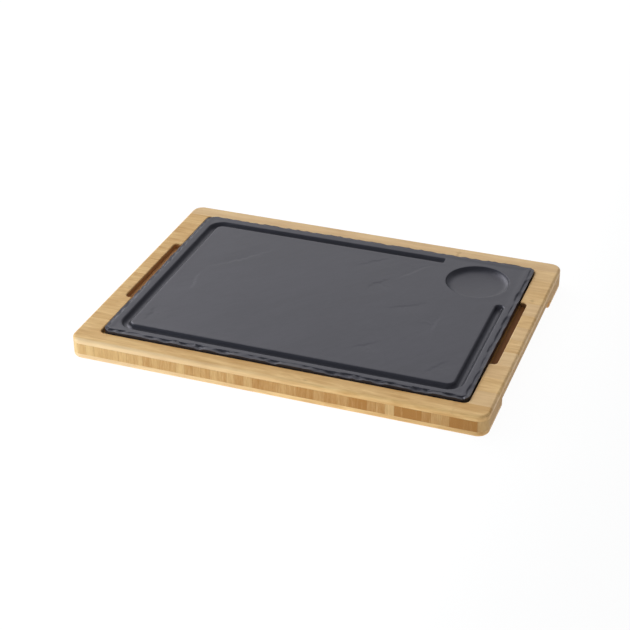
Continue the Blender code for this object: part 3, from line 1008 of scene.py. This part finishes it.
def make_field(plate):
    """The plate's face as a fine grid with the relief of split slate, clear of rim, groove and well."""
    half = Vector((PLATE_HIGH.x, PLATE_HIGH.y)) - Vector((FIELD_INSET, FIELD_INSET))
    counts = [round(2 * size / plate.face_pitch) for size in half]
    clear_selection()
    bpy.ops.mesh.primitive_grid_add(
        x_subdivisions=counts[0], y_subdivisions=counts[1], size=2.0, location=(0.0, 0.0, PLATE_HIGH.z)
    )
    field = bpy.context.object
    field.scale = (half.x, half.y, 1.0)
    apply_place(field)
    middle = well_place(plate)
    line = groove_line(plate)
    tree = kdtree.KDTree(len(line))
    for i, point in enumerate(line):
        tree.insert((*point, 0.0), i)
    tree.balance()
    room = {}
    rim = plate.rim_rings * plate.rim_step
    land = plate.groove_inset - plate.groove_half - rim
    for vertex in field.data.vertices:
        place = vertex.co.xy
        setback = outline_side(*place, plate.corner)[0] - rim
        gap = min(setback, tree.find((*place, 0.0))[2] - plate.groove_half)
        gap = min(gap, (place - middle).length - plate.well_radius)
        room[vertex.index] = gap
        if gap > FIELD_MARGIN:
            vertex.co.z -= plate.land_fall * min(setback / land, 1.0)
            vertex.co.z -= cleft(place, plate) * smooth_step(FIELD_MARGIN, FIELD_CALM, gap)
    pick(field, "VERT", lambda vertex: room[vertex.index] <= FIELD_MARGIN)
    bpy.ops.mesh.delete(type="VERT")
    for _ in range(FIELD_TRIMS):
        shape = bmesh.from_edit_mesh(field.data)
        loose = [
            v for v in shape.verts
            if not v.link_faces or sum(edge.is_boundary for edge in v.link_edges) > 2
        ]
        if not loose:
            break
        bmesh.ops.delete(shape, geom=loose, context="VERTS")
        bmesh.update_edit_mesh(field.data)
    clear_selection()
    return field


def groove_line(plate):
    """Evenly spaced points along the groove's centre line."""
    left, right, front, back, back_end, right_end = groove_path(plate)
    bend = plate.groove_bend
    corners = [(back_end, back), (left, back), (left, front), (right, front), (right, right_end)]
    points = []
    for (x0, y0), (x1, y1) in zip(corners, corners[1:]):
        count = round(math.hypot(x1 - x0, y1 - y0) / LINE_PITCH)
        points += [
            Vector((x0 + (x1 - x0) * k / count, y0 + (y1 - y0) * k / count)) for k in range(count + 1)
        ]
    for i, point in enumerate(points):
        hub = Vector((
            min(max(point.x, left + bend), right - bend),
            min(max(point.y, front + bend), back - bend),
        ))
        out = point - hub
        if abs(out.x) > 1e-6 and abs(out.y) > 1e-6 and not (point.x > 0 and point.y > 0):
            points[i] = hub + out.normalized() * bend
    return points


class BOARD_OT_plate(Operator):
    """Model the stoneware plate with its broken rim, groove, sauce well and split face"""

    bl_idname = "board.plate"
    bl_label = "Plate"

    def execute(self, context):
        plate, finishes = context.scene.plate_sizes, context.scene.board_finishes
        whole = join((make_rim(plate), make_groove(plate), make_well(plate), make_field(plate)))
        pick(whole, "EDGE", lambda edge: edge.is_boundary)
        bpy.ops.mesh.fill(use_beauty=True)
        bpy.ops.mesh.select_all(action="SELECT")
        bpy.ops.mesh.normals_make_consistent(inside=False)
        shape = bmesh.from_edit_mesh(whole.data)
        if any(not edge.is_manifold for edge in shape.edges):
            raise RuntimeError("the plate isn't closed")
        clear_selection()
        material = bpy.data.materials.get("slate_stoneware") or stoneware(finishes)
        hand_over(whole, "plate", material, ("plate",), 32)
        return {"FINISHED"}


# Studio


class BOARD_OT_studio(Operator):
    """Lay the floor and set up the light and the camera"""

    bl_idname = "board.studio"
    bl_label = "Studio"

    def execute(self, context):
        studio = context.scene.studio_setup
        size = studio.floor_size / 2
        floor = add_sheet("floor", (-size, -size), (size, size), FLOOR_LEVEL)
        floor.data.materials.append(floor_finish(studio))
        context.scene.world = sky_finish(studio)
        add_lamp("key_lamp", (-4.28, 1.73, 3.10), 5.0, 2.5, studio.key_power)
        top = add_lamp("top_lamp", (-0.8, -0.2, 3.0), 2.2, 2.2, studio.top_power)
        top.visible_glossy = False
        front = add_lamp("fill_lamp", (-0.66, -0.62, 0.24), 0.5, 0.3, studio.fill_power, studio.fill_colour)
        front.visible_glossy = False
        add_lamp("side_lamp", (1.42, -0.38, 0.12), 1.3, 0.2, studio.side_power, studio.side_colour)
        eye = bpy.data.cameras.new("camera")
        eye.lens = studio.camera_lens
        eye.sensor_width = 36.0
        camera = bpy.data.objects.new("camera", eye)
        context.collection.objects.link(camera)
        sight = Vector(studio.camera_target) - Vector(studio.camera_place)
        camera.location = studio.camera_place
        turn = sight.to_track_quat("-Z", "Y") @ Quaternion((0.0, 0.0, 1.0), studio.camera_roll)
        camera.rotation_euler = turn.to_euler()
        context.scene.camera = camera
        context.scene.view_settings.view_transform = "Standard"
        return {"FINISHED"}


def floor_finish(studio):
    """Light table: white paper with a glow of its own, plain white for the camera but for shadows."""
    material = bpy.data.materials.new("floor_white")
    material.use_nodes = True
    tree = material.node_tree
    tree.nodes.clear()
    paper = put(tree, "ShaderNodeBsdfDiffuse", {"Color": (*studio.floor_colour, 1.0)})
    place = put(tree, "ShaderNodeTexCoord").outputs["Object"]
    along = axes(tree, place)[0]
    # The table's own glow is full on the left and fades to 0.15 of it towards the right
    glow_fading_right = calc(tree, "ADD", times(tree, fade(tree, along, 0.32, 0.05), 0.85), 0.15)
    glow = put(tree, "ShaderNodeEmission", {"Strength": times(tree, glow_fading_right, studio.floor_glow)})
    table = put(tree, "ShaderNodeAddShader", {0: paper.outputs[0], 1: glow.outputs[0]})
    white = put(tree, "ShaderNodeEmission", {"Strength": 1.0})
    share = times(tree, plain_view(tree), studio.floor_white)
    mixed = put(tree, "ShaderNodeMixShader", {0: share, 1: table.outputs[0], 2: white.outputs[0]})
    put(tree, "ShaderNodeOutputMaterial", {"Surface": mixed.outputs[0]})
    return material


def sky_finish(studio):
    """Dim studio with a pale wall behind the board, which the camera sees as white."""
    world = bpy.data.worlds.new("studio")
    world.use_nodes = True
    tree = world.node_tree
    tree.nodes.clear()
    way = put(tree, "ShaderNodeTexCoord").outputs["Generated"]
    across, _, up = axes(tree, way)
    low = times(tree, fade(tree, up, 0.75, 0.1), fade(tree, across, 1.3, 0.1))
    soft = calc(tree, "ADD", times(tree, low, studio.horizon - studio.zenith), studio.zenith)
    behind = put(tree, "ShaderNodeVectorMath", {0: way, 1: WALL_WAY}, operation="DOT_PRODUCT")
    wall = fade(tree, behind.outputs["Value"], 0.77, 0.94)
    seen = plain_view(tree, wall)
    lit = calc(tree, "ADD", soft, times(tree, wall, studio.backdrop))
    power = put(tree, "ShaderNodeMix", {0: seen, 2: lit, 3: 1.0}, data_type="FLOAT").outputs[0]
    tint = blend(tree, seen, studio.wall_colour, (1.0, 1.0, 1.0))
    light = put(tree, "ShaderNodeBackground", {"Color": tint, "Strength": power})
    put(tree, "ShaderNodeOutputWorld", {"Surface": light.outputs[0]})
    return world


def plain_view(tree, share=1.0):
    """1 for what the camera sees, and a share of it for what it sees in gloss and glass."""
    path = put(tree, "ShaderNodeLightPath").outputs
    shiny = calc(tree, "MAXIMUM", path["Is Glossy Ray"], path["Is Transmission Ray"])
    return calc(tree, "MAXIMUM", path["Is Camera Ray"], times(tree, shiny, share))


def add_lamp(name, place, width, height, power, tint=(1.0, 1.0, 1.0)):
    """Rectangular lamp that faces the board."""
    lamp = bpy.data.lights.new(name, "AREA")
    lamp.shape = "RECTANGLE"
    lamp.size = width
    lamp.size_y = height
    lamp.energy = power
    lamp.color = tint
    stand = bpy.data.objects.new(name, lamp)
    bpy.context.collection.objects.link(stand)
    stand.location = place
    stand.rotation_euler = (-Vector(place)).to_track_quat("-Z", "Y").to_euler()
    return stand


class BOARD_PT_sidebar(Panel):
    """The board's steps and settings in the sidebar"""

    bl_idname = "BOARD_PT_sidebar"
    bl_label = "Serving Board"
    bl_space_type = "VIEW_3D"
    bl_region_type = "UI"
    bl_category = "Board"

    def draw(self, context):
        for step in STEPS:
            self.layout.operator(step.bl_idname)
        for name, kind in GROUPS.items():
            box = self.layout.box()
            for key in kind.__annotations__:
                label = key.replace("_", " ").capitalize()
                box.prop(getattr(context.scene, name), key, text=label)


GROUPS = {
    "tray_sizes": TraySizes,
    "plate_sizes": PlateSizes,
    "board_finishes": BoardFinishes,
    "studio_setup": StudioSetup,
}
STEPS = (
    BOARD_OT_rails, BOARD_OT_end_strips, BOARD_OT_core_strips, BOARD_OT_base_strips,
    BOARD_OT_plate, BOARD_OT_studio,
)


def register():
    for cls in (*GROUPS.values(), *STEPS, BOARD_PT_sidebar):
        bpy.utils.register_class(cls)
    for name, group in GROUPS.items():
        setattr(bpy.types.Scene, name, PointerProperty(type=group))


def unregister():
    for name in GROUPS:
        delattr(bpy.types.Scene, name)
    for cls in (BOARD_PT_sidebar, *reversed(STEPS), *reversed(list(GROUPS.values()))):
        bpy.utils.unregister_class(cls)


def main():
    register()
    bpy.ops.board.rails()
    bpy.ops.board.end_strips()
    bpy.ops.board.core_strips()
    bpy.ops.board.base_strips()
    bpy.ops.board.plate()
    bpy.ops.board.studio()


if __name__ == "__main__":
    main()
